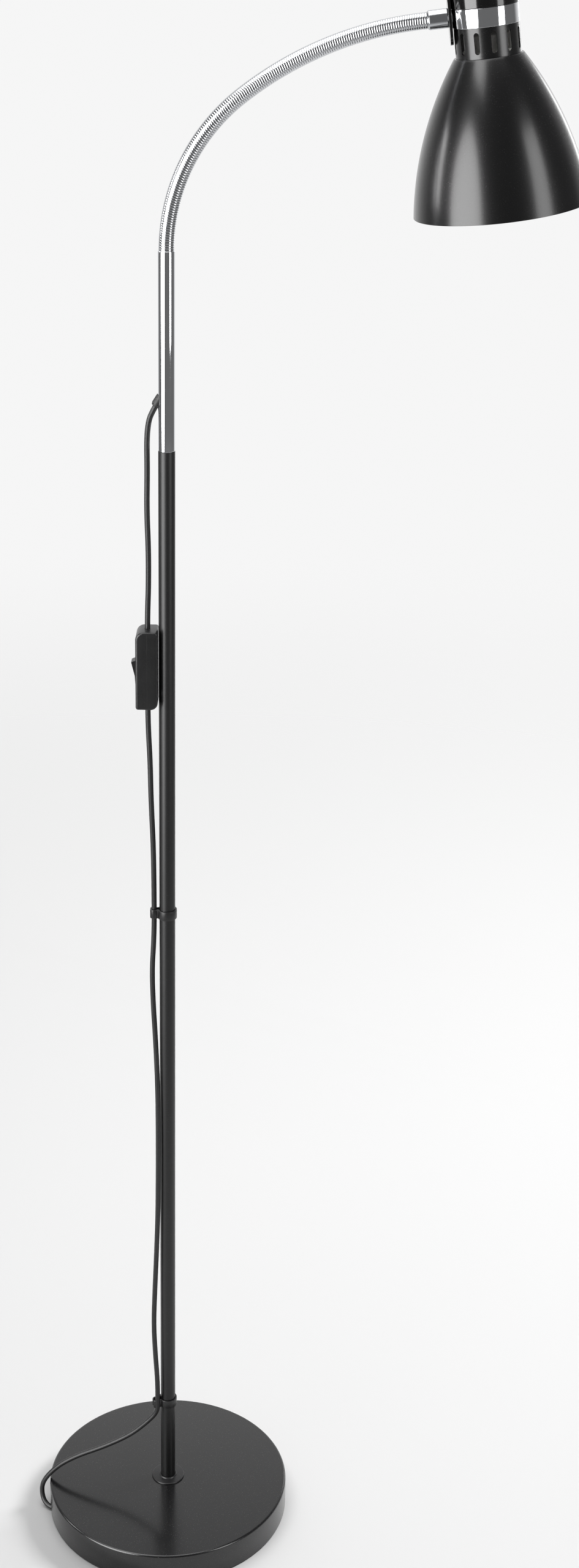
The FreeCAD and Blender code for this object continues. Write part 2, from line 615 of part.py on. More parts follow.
def switch_parts():
    pivot = Vector(value("switch_front + rocker_sunk"), 0, size("rocker_height"))
    shell = switch_shell()
    split_y = "switch_wide / 2 + past"
    ends = ("switch_low - past", "switch_high + past")
    room_ends = ("switch_low + room_end", "switch_high - room_end")
    lead_way = cylinder("cord_radius + loose", *ends)
    bind(lead_way, Placement__Base__x="switch_split")
    front_block = common(shell, box(("switch_front - past", "-(%s)" % split_y, ends[0]),
                                    ("switch_split", split_y, ends[1])))
    front_room = box(("switch_front + switch_wall", "-switch_wide / 2 + switch_wall", room_ends[0]),
                     ("switch_split + past", "switch_wide / 2 - switch_wall", room_ends[1]))
    back_block = common(shell, box(("switch_split", "-(%s)" % split_y, ends[0]),
                                   ("switch_back + past", split_y, ends[1])))
    back_room = box(("switch_split - past", "-switch_wide / 2 + room_back_side", room_ends[0]),
                    ("switch_back - room_back", "switch_wide / 2 - room_back_side", room_ends[1]))
    window = box(("switch_front - past", "-rocker_wide / 2 - rocker_gap",
                  "rocker_height - rocker_sweep - rocker_gap"),
                 ("switch_front + switch_wall + loose", "rocker_wide / 2 + rocker_gap",
                  "rocker_height + rocker_sweep + rocker_gap"))
    ear_ends = (("rocker_wide / 2 + rocker_gap", "rocker_wide / 2 + rocker_gap + ear_thick"),
                ("-rocker_wide / 2 - rocker_gap - ear_thick", "-rocker_wide / 2 - rocker_gap"))
    ears = [box(("switch_front + switch_wall - loose", low, "rocker_height - ear_high"),
                ("switch_front + switch_wall + ear_deep", high, "rocker_height + ear_high"))
            for low, high in ear_ends]
    screw_places = [("screw_side", "rocker_height + screw_upper"),
                    ("-screw_side", "rocker_height - screw_lower")]
    front_bosses, back_bosses, screws, pilots, recesses = [], [], [], [], []
    for across, up in screw_places:
        middle = Vector(size("switch_split"), value(across), value(up))
        start = Vector(size("switch_back"), middle.y, middle.z)
        front_bosses.append(rod_along("screw_boss", "switch_split - switch_front - past",
                                      middle, -ALONG_X))
        back_bosses.append(rod_along("screw_boss", "switch_back - switch_split - past",
                                     middle, ALONG_X))
        screws.append(fuse(rod_along("screw_head", "screw_sunk", start, -ALONG_X),
                           rod_along("screw_shank", "screw_long", start, -ALONG_X)))
        pilots.append(rod_along("screw_shank", "screw_long", start, -ALONG_X))
        recesses.append(rod_along("screw_head + loose", "screw_sunk", start, -ALONG_X))
    pin_reach = "rocker_wide / 2 + rocker_gap + ear_thick"
    pin_hole = rod_along("rocker_pin", "2 * (%s)" % pin_reach,
                         pivot - ALONG_Y * value(pin_reach), ALONG_Y)
    keep(cut(fuse(cut(front_block, front_room, window), *ears, *front_bosses),
             pin_hole, lead_way, *pilots), "switch_front")
    keep(cut(fuse(cut(back_block, back_room), *back_bosses), lead_way, *pilots, *recesses),
         "switch_back")
    compound(screws, "switch_screws")
    keep(rod_along("rocker_pin", "2 * (%s) - 2 * loose" % pin_reach,
                   pivot - ALONG_Y * value("%s - loose" % pin_reach), ALONG_Y), "rocker_pin")
    rocker_part(pivot)
    inside_back = "switch_back - room_back"
    blades = [box(("switch_split - contact_deep", low, "contact_low"), (inside_back, high, "contact_high"))
              for low, high in (("contact_side", "contact_side + contact_thick"),
                                ("-contact_side - contact_thick", "-contact_side"))]
    compound(blades, "switch_contacts")
    clamps = [box(("switch_split - clamp_deep", "-clamp_wide / 2", low),
                  (inside_back, "clamp_wide / 2", "%s + clamp_high" % low))
              for low in ("switch_low + clamp_inset", "switch_high - clamp_inset - clamp_high")]
    compound(clamps, "switch_clamps")


def rocker_part(pivot):
    """The rocker: a shallow V between two round ends, at rest with its upper end out."""
    body = doc.addObject("PartDesign::Body", "Rocker")
    face = "rocker_sunk + rocker_proud"
    rise = "sqrt(rocker_sweep ^ 2 - (%s) ^ 2)" % face
    drop = "sqrt(rocker_sweep ^ 2 - rocker_deep ^ 2)"
    sketch = outline_sketch(body, [
        ("-(%s)" % face, "-%s" % rise), ("rocker_deep", "-%s" % drop), ("rocker_deep", drop),
        ("-(%s)" % face, rise), ("rocker_dip - (%s)" % face, "0")],
        {0: "rocker_sweep", 2: "rocker_sweep"})
    pad = body.newObject("PartDesign::Pad", "Width")
    pad.Profile = sketch
    pad.Midplane = True
    bind(pad, Length="rocker_wide")
    doc.recompute()
    bore = rod_along("rocker_pin + rocker_play", "rocker_wide + 2 * past",
                     Vector(0, -value("rocker_wide / 2 + past"), 0), ALONG_Y)
    keep(cut(body, bore), "switch_rocker",
         Placement(pivot, Rotation(ALONG_Y, -size("rocker_tilt"))))


# Mains lead: straight runs joined by tangent arcs through these points, chosen by hand

EXIT = bush_centre() + bush_axis() * size("cord_start")
SPLIT = size("switch_split")
UPPER_ROUTE = [
    EXIT, (-13.0, 0.1, 1182.3), (-15.9, 0.3, 1174.0), (-17.4, 0.6, 1158.0), (-17.1, 0.9, 1130.0),
    (-17.7, 0.2, 1095.0), (-16.3, -0.6, 1060.0), (-16.4, -0.3, 1025.0), (-17.3, 0.0, 1001.0),
    (SPLIT, 0.0, value("switch_high - clamp_inset")),
]
LOWER_ROUTE = [
    (SPLIT, 0.0, value("switch_low + clamp_inset")), (-17.3, 0.0, 889.0), (-15.6, -0.6, 855.0),
    (-14.9, -1.0, 815.0), (-13.0, -0.6, 770.0), (-12.5, 0.0, 724.0), (-12.5, 0.1, 676.0),
    (-14.7, -0.8, 640.0), (-13.8, -1.6, 604.0), (-11.3, -3.2, 560.0), (-9.4, -5.7, 514.0),
    (-8.9, -6.8, 462.0), (-9.1, -6.7, 410.0), (-9.7, -6.2, 360.0), (-11.4, -5.2, 312.0),
    (-13.2, -4.3, 268.0), (-14.4, -4.6, 228.0), (-12.7, -5.8, 192.0), (-10.5, -6.9, 160.0),
    (-10.4, -6.9, value("clip_lower_height")),
]
TAIL_ROUTE = [
    (-10.4, -6.9, value("clip_lower_height")), (-10.6, -6.9, 124.5), (-13.0, -6.9, 117.9),
    (-17.9, -7.0, 111.4), (-26.0, -7.3, 102.8), (-36.5, -7.4, 93.0), (-50.0, -6.8, 83.3),
    (-71.0, -7.6, 72.6), (-92.5, -6.7, 62.6), (-110.5, -7.1, 52.0), (-119.8, -7.3, 43.6),
    (-126.8, -7.7, 35.6), (-131.3, -8.1, 28.4), (-133.2, -8.5, 22.6), (-133.6, -9.1, 16.9),
    (-132.9, -11.1, 11.1), (-130.5, -14.5, 6.5), (-126.2, -18.1, 3.8), (-120.1, -21.1, 3.3),
    (-110.4, -23.5, 3.2), (-95.0, -25.5, 3.3), (-71.0, -28.6, 3.4), (-45.0, -31.2, 3.4),
    (-25.0, -32.5, 3.4), (-8.0, -32.4, 3.4),
]
LEAD_ROUTE = [
    (32.6, 4.0, 8.3), (33.2, 14.0, 8.1), (35.6, 27.0, 7.6), (36.6, 42.0, 7.2),
    (33.0, 56.0, 6.9), (25.5, 66.0, 6.85), (16.0, 70.6, 6.85), (value("plug_x"), 71.0, 6.85),
]
BEND_SHARE = 0.45     # the part of the shorter run that each arc takes


def route_edges(route):
    """Runs and arcs of a lead, and the radius of each arc."""
    points = [Vector(*p) for p in route]
    edges, radii = [], []
    start = points[0]
    for before, corner, after in zip(points, points[1:], points[2:]):
        into, out = (corner - before), (after - corner)
        turn = into.getAngle(out)
        tangent = BEND_SHARE * min(into.Length, out.Length)
        radius = tangent / math.tan(turn / 2)
        into.normalize()
        out.normalize()
        first, last = corner - into * tangent, corner + out * tangent
        inward = (out - into).normalize()
        middle = corner + inward * (radius / math.cos(turn / 2) - radius)
        edges.append(Part.LineSegment(start, first).toShape())
        edges.append(Part.Arc(first, middle, last).toShape())
        radii.append(radius)
        start = last
    edges.append(Part.LineSegment(start, points[-1]).toShape())
    return edges, radii


def lead_part(label, route):
    edges, radii = route_edges(route)
    path = Part.Wire(edges)
    radius = size("cord_radius")
    start = edges[0].tangentAt(edges[0].FirstParameter)
    profile = Part.Wire([Part.Circle(Vector(*route[0]), start, radius).toShape()])
    lead = doc.addObject("Part::Feature", "Lead")
    lead.Shape = path.makePipeShell([profile], True, False)
    expected = math.pi * radius ** 2 * path.Length
    print("%s: %.0f mm long, smallest bend %.1f mm, volume is %.4f of its section times length"
          % (label, path.Length, min(radii), lead.Shape.Volume / expected))
    keep(lead, label)
    return path.Length


def lead_parts():
    lengths = [lead_part("cord_upper", UPPER_ROUTE), lead_part("cord_lower", LOWER_ROUTE),
               lead_part("cord_tail", TAIL_ROUTE), lead_part("cord_lead", LEAD_ROUTE)]
    print("lead outside its coil: %.0f mm" % sum(lengths))
    coil = turned([("coil_inner", "coil_low"), ("coil_outer", "coil_low"),
                   ("coil_outer", "coil_high"), ("coil_inner", "coil_high")])
    for radius in ("coil_inner", "coil_outer"):
        for height in ("coil_low", "coil_high"):
            rounded(coil, "coil_round", circle_at(radius, height))
    keep(coil, "cord_coil")
    outside = box(("coil_inner - coil_play - tie_wall", "-tie_wide / 2", "0"),
                  ("coil_outer + hole_play + tie_wall", "tie_wide / 2", "coil_high + loose + tie_wall"))
    inside = box(("coil_inner - coil_play", "-tie_wide", "coil_low - loose"),
                 ("coil_outer + hole_play", "tie_wide", "coil_high + loose"))
    keep(cut(outside, inside), "coil_tie", Placement(Vector(), Rotation(UP, size("tie_angle"))))
    plug_parts()


def plug_parts():
    """A flat two-pin plug, lying beside the coil with its pins along -X."""
    body = doc.addObject("Part::Wedge", "PlugBody")
    bind(body, Xmin="-plug_tail_wide / 2", Xmax="plug_tail_wide / 2", Ymin="0", Ymax="plug_long",
         Zmin="-plug_tail_thick / 2", Zmax="plug_tail_thick / 2",
         X2min="-plug_wide / 2", X2max="plug_wide / 2",
         Z2min="-plug_thick / 2", Z2max="plug_thick / 2")
    place = Placement(Vector(value("plug_x"), value("plug_y"), value("plug_thick / 2")),
                      Rotation(UP, 90))
    keep(body, "plug_body", place)
    tip = Vector(value("plug_x - plug_long"), size("plug_y"), value("plug_thick / 2"))
    pins = [rod_along("pin_radius", "pin_long", tip + ALONG_Y * side, -ALONG_X)
            for side in (value("pin_pitch / 2"), -value("pin_pitch / 2"))]
    compound(pins, "plug_pins")


def check_and_write():
    doc.recompute()
    for thing in doc.Objects:
        if "Invalid" in thing.State or "Error" in thing.State:
            raise RuntimeError("%s (%s) failed: %s" % (thing.Name, thing.Label, thing.State))
    for part in subparts:
        if part.Shape.isNull() or not part.Shape.isValid() or not part.Shape.Solids:
            raise RuntimeError("%s has no valid solid" % part.Label)
    os.makedirs("parts", exist_ok=True)
    for part in subparts:
        part.Shape.exportStep("parts/%s.step" % part.Label)
    print("%d sub-parts written" % len(subparts))


def main():
    base_parts()
    pole_parts()
    clip_part("clip_upper", "clip_upper_height", size("clip_upper_turn"))
    clip_part("clip_lower", "clip_lower_height", size("clip_lower_turn"))
    neck_parts()
    head_parts()
    switch_parts()
    lead_parts()
    check_and_write()


main()
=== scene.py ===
import json
import math
import bmesh
import bpy
import numpy as np
from mathutils import Matrix, Vector


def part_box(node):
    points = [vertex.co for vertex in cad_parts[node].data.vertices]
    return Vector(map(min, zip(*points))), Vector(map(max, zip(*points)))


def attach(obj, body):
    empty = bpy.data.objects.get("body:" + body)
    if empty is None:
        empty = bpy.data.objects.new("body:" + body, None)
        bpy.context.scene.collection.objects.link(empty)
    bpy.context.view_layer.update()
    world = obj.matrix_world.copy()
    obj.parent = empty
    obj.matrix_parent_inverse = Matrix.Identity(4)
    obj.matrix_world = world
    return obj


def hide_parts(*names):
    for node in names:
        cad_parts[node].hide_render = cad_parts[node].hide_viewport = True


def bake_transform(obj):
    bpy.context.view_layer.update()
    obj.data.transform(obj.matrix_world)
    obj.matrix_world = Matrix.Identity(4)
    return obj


# floor lamp with a weighted round base, slim pole, ribbed chrome neck and bell shade
# metres everywhere, +Z up, the neck leans to +X

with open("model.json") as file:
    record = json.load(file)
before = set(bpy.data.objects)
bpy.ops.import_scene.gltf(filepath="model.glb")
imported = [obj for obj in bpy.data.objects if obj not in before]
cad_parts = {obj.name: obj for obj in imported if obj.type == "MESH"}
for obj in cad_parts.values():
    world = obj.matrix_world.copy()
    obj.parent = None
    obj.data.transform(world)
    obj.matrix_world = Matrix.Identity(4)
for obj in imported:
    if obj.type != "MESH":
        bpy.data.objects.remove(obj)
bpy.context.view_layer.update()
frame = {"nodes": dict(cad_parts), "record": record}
record = frame["record"]
slotOfNode = {p["node"]: p["material_slot"] for p in record["subparts"]}
bodyOfNode = {node: body for body, nodes in record["behaviour"]["bodies"].items() for node in nodes}
mm = 0.001


def addObject(name, data):
    obj = bpy.data.objects.new(name, data)
    bpy.context.collection.objects.link(obj)
    return obj


# ---- camera

cameraSetup = {
    "place": (0.1084, -1.9508, 1.6673), "pitch": 23.109, "roll": 1.225, "yaw": 0.148,
    "lens": 52.51, "sensor": 36.0,
}


def addCamera():
    pitch, roll, yaw = (math.radians(cameraSetup[k]) for k in ("pitch", "roll", "yaw"))
    look = Vector((math.sin(yaw) * math.cos(pitch), math.cos(yaw) * math.cos(pitch), -math.sin(pitch)))
    side = Vector((math.cos(yaw), -math.sin(yaw), 0))
    top = side.cross(look)
    right = side * math.cos(roll) + top * math.sin(roll)
    up = top * math.cos(roll) - side * math.sin(roll)
    data = bpy.data.cameras.new("camera")
    data.sensor_width = cameraSetup["sensor"]
    data.lens = cameraSetup["lens"]
    data.clip_end = 200
    camera = addObject("camera", data)
    turn = Matrix((right, up, -look)).transposed().to_4x4()
    camera.matrix_world = Matrix.Translation(cameraSetup["place"]) @ turn
    bpy.context.scene.camera = camera


addCamera()

# ---- the lead: one smooth line from the bush to the plug, through the switch

lead = {
    "diameter": 5 * mm, "length": 2.5,
    "coilTurns": 3, "coilOuter": 32.5 * mm, "coilPitch": 5.06 * mm,
    "coilLow": 3.4 * mm, "coilHigh": 8.45 * mm, "pointsPerTurn": 20,
    "stepShare": 0.16, "startAngle": -1.81, "endAngle": 0.12,
}

# route in millimetres
hangingRoute = [
    (-7.8, 0.0, 1191.5), (-13.0, 0.1, 1182.3), (-15.9, 0.3, 1174.0), (-17.4, 0.6, 1158.0),
    (-17.1, 0.9, 1130.0), (-17.7, 0.2, 1095.0), (-16.3, -0.6, 1060.0), (-16.4, -0.3, 1025.0),
    (-17.3, 0.0, 1001.0), (-17.5, 0.0, 979.5), (-17.5, 0.0, 947.0), (-17.5, 0.0, 915.0),
    (-17.3, 0.0, 889.0), (-15.6, -0.6, 855.0), (-14.9, -1.0, 815.0), (-13.0, -0.6, 770.0),
    (-12.5, 0.0, 724.0), (-12.5, 0.1, 676.0), (-14.7, -0.8, 640.0), (-13.8, -1.6, 604.0),
    (-11.3, -3.2, 560.0), (-9.4, -5.7, 514.0), (-8.9, -6.8, 462.0), (-9.1, -6.7, 410.0),
    (-9.7, -6.2, 360.0), (-11.4, -5.2, 312.0), (-13.2, -4.3, 268.0), (-14.4, -4.6, 228.0),
    (-12.7, -5.8, 192.0), (-10.5, -6.9, 160.0), (-10.4, -6.9, 130.5),
]
tailRoute = [
    (-10.6, -6.9, 124.5), (-13.0, -6.9, 117.9), (-17.9, -7.0, 111.4), (-26.0, -7.3, 102.8),
    (-36.5, -7.4, 93.0), (-50.0, -6.8, 83.3), (-71.0, -7.6, 72.6), (-92.5, -6.7, 62.6),
    (-110.5, -7.1, 52.0), (-119.8, -7.3, 43.6), (-126.8, -7.7, 35.6), (-131.3, -8.1, 28.4),
    (-133.2, -8.5, 22.6), (-133.6, -9.1, 16.9), (-132.9, -11.1, 11.1), (-130.5, -14.5, 6.5),
    (-126.2, -18.1, 3.8), (-120.1, -21.1, 3.3), (-110.4, -23.5, 3.2), (-95.0, -25.5, 3.3),
    (-71.0, -28.6, 3.4), (-45.0, -31.2, 3.4), (-25.0, -32.5, 3.4),
]
plugRoute = [
    (33.2, 14.0, 8.1), (35.6, 27.0, 7.6), (36.6, 42.0, 7.2), (33.0, 56.0, 6.9),
    (25.5, 66.0, 6.85), (16.0, 70.6, 6.85), (8.0, 71.0, 6.85),
]


def smoothStep(x):
    x = np.clip(x, 0, 1)
    return x * x * (3 - 2 * x)


def coilPoints():
    # each turn keeps one radius and steps to the next in its last part; the lower layer winds
    # inwards, then the lead climbs to the upper layer and winds outwards
    turns = lead["coilTurns"]
    full = 2 * math.pi
    lastTurns = turns + (lead["endAngle"] - lead["startAngle"]) / full
    count = round((turns + lastTurns) * lead["pointsPerTurn"])
    turn = np.linspace(0, turns + lastTurns, count)
    whole = np.floor(turn)
    step = smoothStep((turn - whole - 1 + lead["stepShare"]) / lead["stepShare"])
    stairs = whole + step
    inwards = np.minimum(stairs, turns - 1)
    outwards = np.clip(stairs - turns, 0, turns - 1)
    layers = inwards - outwards
    radius = lead["coilOuter"] - lead["coilPitch"] * layers
    # the spline cuts inside its points, so they lie a little further out
    radius = radius / math.cos(math.pi / lead["pointsPerTurn"]) ** 0.5
    climb = smoothStep((turn - turns + lead["stepShare"]) / lead["stepShare"])
    height = lead["coilLow"] + (lead["coilHigh"] - lead["coilLow"]) * climb
    angle = lead["startAngle"] + full * turn
    return np.column_stack([radius * np.cos(angle), radius * np.sin(angle), height])


def leadPoints():
    start, end = (np.array(part) * mm for part in (hangingRoute + tailRoute, plugRoute))
    return np.vstack([start, coilPoints(), end])


def addLead():
    points = leadPoints()
    curve = bpy.data.curves.new("mains_lead", "CURVE")
    curve.dimensions = "3D"
    spline = curve.splines.new("NURBS")
    spline.points.add(len(points) - 1)
    spline.points.foreach_set("co", np.column_stack([points, np.ones(len(points))]).ravel())
    spline.order_u = 3
    spline.use_endpoint_u = True
    spline.resolution_u = 8
    curve.bevel_depth = lead["diameter"] / 2
    curve.bevel_resolution = 5
    curve.use_fill_caps = True
    return addObject("mains_lead", curve)


leadPiece = addLead()
print("camera and lead placed")

# ---- mesh helpers


def filletOutline(corners, steps=6):
    # every corner (x, y, radius) becomes an arc that touches both of its sides
    points = np.array([c[:2] for c in corners], float)
    result = []
    for i, corner in enumerate(corners):
        here = points[i]
        radius = corner[2] if len(corner) > 2 else 0
        if radius <= 0:
            result.append(here[None])
            continue
        a = points[i - 1] - here
        b = points[(i + 1) % len(points)] - here
        a, b = a / np.linalg.norm(a), b / np.linalg.norm(b)
        half = math.acos(np.clip(a @ b, -1, 1)) / 2
        middle = here + (a + b) / np.linalg.norm(a + b) * radius / math.sin(half)
        first = here + a * radius / math.tan(half) - middle
        last = here + b * radius / math.tan(half) - middle
        sweep = math.pi - 2 * half
        t = np.linspace(0, 1, steps + 1)[:, None]
        arc = (first * np.sin((1 - t) * sweep) + last * np.sin(t * sweep)) / math.sin(sweep)
        result.append(middle + arc)
    return np.vstack(result)


def gridFaces(rows, columns, loopRows):
    # quads between neighbouring rows, with the columns always closed on themselves
    i = np.arange(rows if loopRows else rows - 1)[:, None]
    j = np.arange(columns)[None, :]
    nextI, nextJ = (i + 1) % rows, (j + 1) % columns
    quads = np.stack([i * columns + j, i * columns + nextJ,
                      nextI * columns + nextJ, nextI * columns + j], -1)
    return quads.reshape(-1, 4)


def signedVolume(verts, faces):
    total = 0.0
    for face in faces:
        p = verts[list(face)]
        total += np.sum(np.cross(p[1:-1], p[2:]) @ p[0])
    return total


def addPiece(name, verts, faces, finish, node=None, body=None, sharp=38, slot=None):
    faces = [tuple(int(v) for v in f) for f in faces]
    if signedVolume(verts, faces) < 0:
        faces = [f[::-1] for f in faces]
    mesh = bpy.data.meshes.new(name)
    mesh.from_pydata(verts.tolist(), [], faces)
    mesh.polygons.foreach_set("use_smooth", np.ones(len(faces), bool))
    mesh.set_sharp_from_angle(angle=math.radians(sharp))
    mesh.update()
    mesh.materials.append(finishes[finish])
    obj = addObject(name, mesh)
    settle(obj, node, body)
    return obj


def settle(obj, node, body=None):
    nodes = [] if node is None else [node] if isinstance(node, str) else list(node)
    if nodes:
        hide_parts(*nodes)
    if body != "later":
        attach(obj, body or bodyOfNode[nodes[0]])


def evenTurns(count):
    return np.linspace(0, 2 * math.pi, count, endpoint=False)


def ringStack(profile, turns, place=None, closed=True):
    # each profile point (radius, height) becomes a ring: place + radius (cos t, sin t) + height;
    # an open profile starts and ends on the axis, where its rings shrink to one point
    count = len(turns)
    radius, height = np.array(profile, float).T
    x = radius[:, None] * np.cos(turns)
    y = radius[:, None] * np.sin(turns)
    z = np.broadcast_to(height[:, None], x.shape)
    verts = np.stack([x, y, z], -1).reshape(-1, 3)
    faces = gridFaces(len(radius), count, closed)
    if not closed:
        poles = np.array([[0, 0, height[0]], [0, 0, height[-1]]])
        keep = (len(radius) - 2) * count
        verts = np.vstack([verts[count:count + keep], poles])
        faces = gridFaces(len(radius) - 2, count, False)
        j = np.arange(count)
        low = np.stack([np.full(count, keep), (j + 1) % count, j], -1)
        top = keep - count
        high = np.stack([np.full(count, keep + 1), top + j, top + (j + 1) % count], -1)
        faces = list(faces) + list(low) + list(high)
    if place is not None:
        verts = verts @ np.array(place.to_3x3()).T + np.array(place.translation)
    return verts, faces


def addTurned(name, corners, finish, node, place=None, segments=128, closed=True, steps=6, **more):
    # a lathe shape; corners are (radius, height, rounding) in millimetres
    outline = filletOutline(corners, steps) * mm
    if not closed:
        outline[0, 0] = outline[-1, 0] = 0
    verts, faces = ringStack(outline, evenTurns(segments), place, closed)
    return addPiece(name, verts, faces, finish, node, **more)


def addSwept(name, points, across, section, finish, node):
    # the section's (u, v) is carried along the path as u across it and v along Z, with flat ends
    u, v = section[:, 0], section[:, 1]
    up = np.array([0, 0, 1.0])
    grid = points[:, None] + across[:, None] * u[None, :, None] + up * v[None, :, None]
    count = len(section)
    verts = grid.reshape(-1, 3)
    faces = list(gridFaces(len(points), count, False))
    faces.append(np.arange(count)[::-1])
    faces.append(np.arange(count) + (len(points) - 1) * count)
    addPiece(name, verts, faces, finish, node)


def cleanCopy(node, name, finish, bevel):
    # the CAD piece with its points joined, smooth shading and softened edges
    sharp = math.radians(32)
    source = frame["nodes"][node]
    mesh = source.data.copy()
    mesh.name = name
    work = bmesh.new()
    work.from_mesh(mesh)
    bmesh.ops.remove_doubles(work, verts=work.verts, dist=1e-6)
    bmesh.ops.dissolve_limit(work, angle_limit=math.radians(0.5), verts=work.verts, edges=work.edges)
    work.to_mesh(mesh)
    work.free()
    mesh.polygons.foreach_set("use_smooth", np.ones(len(mesh.polygons), bool))
    mesh.set_sharp_from_angle(angle=sharp)
    mesh.materials.clear()
    mesh.materials.append(finishes[finish])
    obj = addObject(name, mesh)
    soft = obj.modifiers.new("softEdges", "BEVEL")
    soft.width = bevel * mm
    soft.segments = 2
    soft.limit_method = "ANGLE"
    soft.angle_limit = sharp
    soft.harden_normals = True
    settle(obj, node)


def mapRange(nodes, low, high, toLow=0.0, toHigh=1.0):
    node = nodes.new("ShaderNodeMapRange")
    for socket, value in (("From Min", low), ("From Max", high), ("To Min", toLow), ("To Max", toHigh)):
        node.inputs[socket].default_value = value
    return node


# ---- finishes

specks = {"scale": 1400, "from": 0.68, "to": 0.78, "colour": (0.45, 0.44, 0.42), "roughness": 0.4}


def makeSurfaceGroup():
    # fine grain, broad cloudiness and speckled dust in one group: it shifts the colour and the
    # roughness and gives a height for bump
    group = bpy.data.node_groups.new("surfaceDetail", "ShaderNodeTree")
    sockets = (("Colour", "NodeSocketColor", (0.5, 0.5, 0.5, 1)), ("Roughness", "NodeSocketFloat", 0.3),
               ("Grain Size", "NodeSocketFloat", 1.0), ("Cloud Size", "NodeSocketFloat", 40.0),
               ("Colour Change", "NodeSocketFloat", 0.1), ("Roughness Change", "NodeSocketFloat", 0.1),
               ("Dust", "NodeSocketFloat", 0.0))
    for label, kind, value in sockets:
        socket = group.interface.new_socket(label, in_out="INPUT", socket_type=kind)
        socket.default_value = value
    for label, kind in (("Colour", "NodeSocketColor"), ("Roughness", "NodeSocketFloat"),
                        ("Height", "NodeSocketFloat")):
        group.interface.new_socket(label, in_out="OUTPUT", socket_type=kind)
    nodes, links = group.nodes, group.links
    given = nodes.new("NodeGroupInput")
    out = nodes.new("NodeGroupOutput")
    coords = nodes.new("ShaderNodeTexCoord")

    def noise(sizeSocket, detail, rough):
        # sizes are in millimetres, so the noise runs at 1000 / size cycles per metre
        scale = nodes.new("ShaderNodeMath")
        scale.operation = "DIVIDE"
        scale.inputs[0].default_value = 1000
        links.new(given.outputs[sizeSocket], scale.inputs[1])
        texture = nodes.new("ShaderNodeTexNoise")
        texture.inputs["Detail"].default_value = detail
        texture.inputs["Roughness"].default_value = rough
        links.new(coords.outputs["Object"], texture.inputs["Vector"])
        links.new(scale.outputs[0], texture.inputs["Scale"])
        return texture.outputs["Fac"]

    grain = noise("Grain Size", 3, 0.6)
    cloud = noise("Cloud Size", 4, 0.55)

    def centred(value, amountSocket):
        offset = nodes.new("ShaderNodeMath")
        offset.operation = "SUBTRACT"
        links.new(value, offset.inputs[0])
        offset.inputs[1].default_value = 0.5
        scaled = nodes.new("ShaderNodeMath")
        scaled.operation = "MULTIPLY"
        links.new(offset.outputs[0], scaled.inputs[0])
        links.new(given.outputs[amountSocket], scaled.inputs[1])
        return scaled.outputs[0]

    def join(operation, first, second):
        node = nodes.new("ShaderNodeMath")
        node.operation = operation
        for socket, value in zip(node.inputs, (first, second)):
            if isinstance(value, (int, float)):
                socket.default_value = value
            else:
                links.new(value, socket)
        return node.outputs[0]

    # brightness = 1 + change * (cloud and grain, about zero)
    both = join("ADD", cloud, join("MULTIPLY", join("SUBTRACT", grain, 0.5), 0.5))
    brightness = join("ADD", 1.0, centred(both, "Colour Change"))
    brightness = join("MAXIMUM", brightness, 0.0)
    tint = nodes.new("ShaderNodeVectorMath")
    tint.operation = "SCALE"
    links.new(given.outputs["Colour"], tint.inputs[0])
    links.new(brightness, tint.inputs["Scale"])
    # dust lies in a thresholded noise and lifts the colour to pale grey
    speck = nodes.new("ShaderNodeTexNoise")
    speck.inputs["Scale"].default_value = specks["scale"]
    speck.inputs["Detail"].default_value = 1
    links.new(coords.outputs["Object"], speck.inputs["Vector"])
    mask = mapRange(nodes, specks["from"], specks["to"])
    links.new(speck.outputs["Fac"], mask.inputs["Value"])
    dust = join("MULTIPLY", mask.outputs[0], given.outputs["Dust"])
    blend = nodes.new("ShaderNodeMix")
    blend.data_type = "RGBA"
    links.new(dust, blend.inputs[0])
    links.new(tint.outputs[0], blend.inputs[6])
    blend.inputs[7].default_value = (*specks["colour"], 1)
    links.new(blend.outputs[2], out.inputs["Colour"])
    rough = join("ADD", given.outputs["Roughness"], centred(cloud, "Roughness Change"))
    rough = join("ADD", rough, join("MULTIPLY", dust, specks["roughness"]))
    rough = join("MAXIMUM", join("MINIMUM", rough, 1.0), 0.02)
    links.new(rough, out.inputs["Roughness"])
    links.new(join("ADD", grain, join("MULTIPLY", cloud, 0.35)), out.inputs["Height"])
    return group


